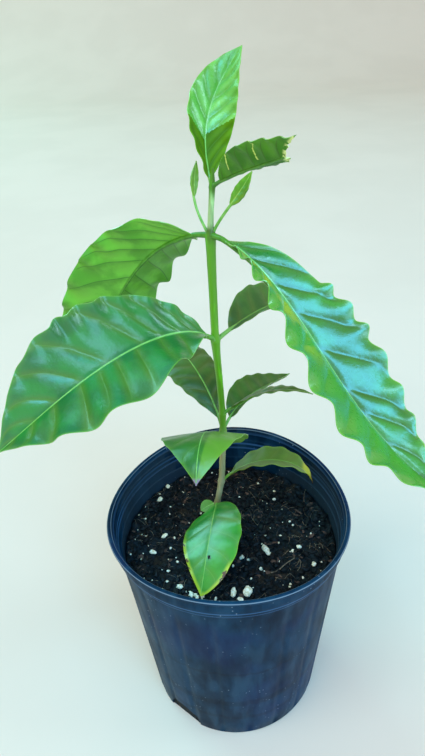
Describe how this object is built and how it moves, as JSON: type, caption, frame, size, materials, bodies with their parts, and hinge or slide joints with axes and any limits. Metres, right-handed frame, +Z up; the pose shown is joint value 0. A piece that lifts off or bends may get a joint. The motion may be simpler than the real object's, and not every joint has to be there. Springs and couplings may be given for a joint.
{
  "type": "potted coffee plant",
  "caption": "Young coffee plant with one upright stem, opposite glossy wavy-edged leaves and axil shoots, growing in a tapered black nursery pot of potting mix.",
  "frame": {"origin": "centre of the pot's flat underside, on the surface it stands on", "axes": "+Z up along the pot's axis, +Y away from the viewer of the picture, +X to the viewer's right"},
  "size_m": [0.2125, 0.2313, 0.4452],
  "materials": {
    "pot": "satin",
    "potting_mix": "matte",
    "stem": "satin",
    "leaf": "gloss",
    "young_leaf": "gloss",
    "dark_leaf": "satin"
  },
  "bodies": {
    "root": {"pot": "pot", "potting_soil": "potting_mix", "stem": "stem", "shoot_left": "young_leaf", "shoot_right": "young_leaf", "top_leaf_upright": "young_leaf", "top_leaf_torn": "dark_leaf", "upper_leaf_left": "leaf", "upper_leaf_right": "leaf", "middle_leaf_left": "leaf", "middle_leaf_right": "leaf", "lower_leaf_left": "leaf", "lower_leaf_right": "leaf", "lower_leaf_folded": "leaf", "arched_leaf_front": "leaf", "arched_leaf_right": "leaf", "foot_leaf_front": "leaf", "foot_leaf_small": "leaf"}
  },
  "joints": []
}
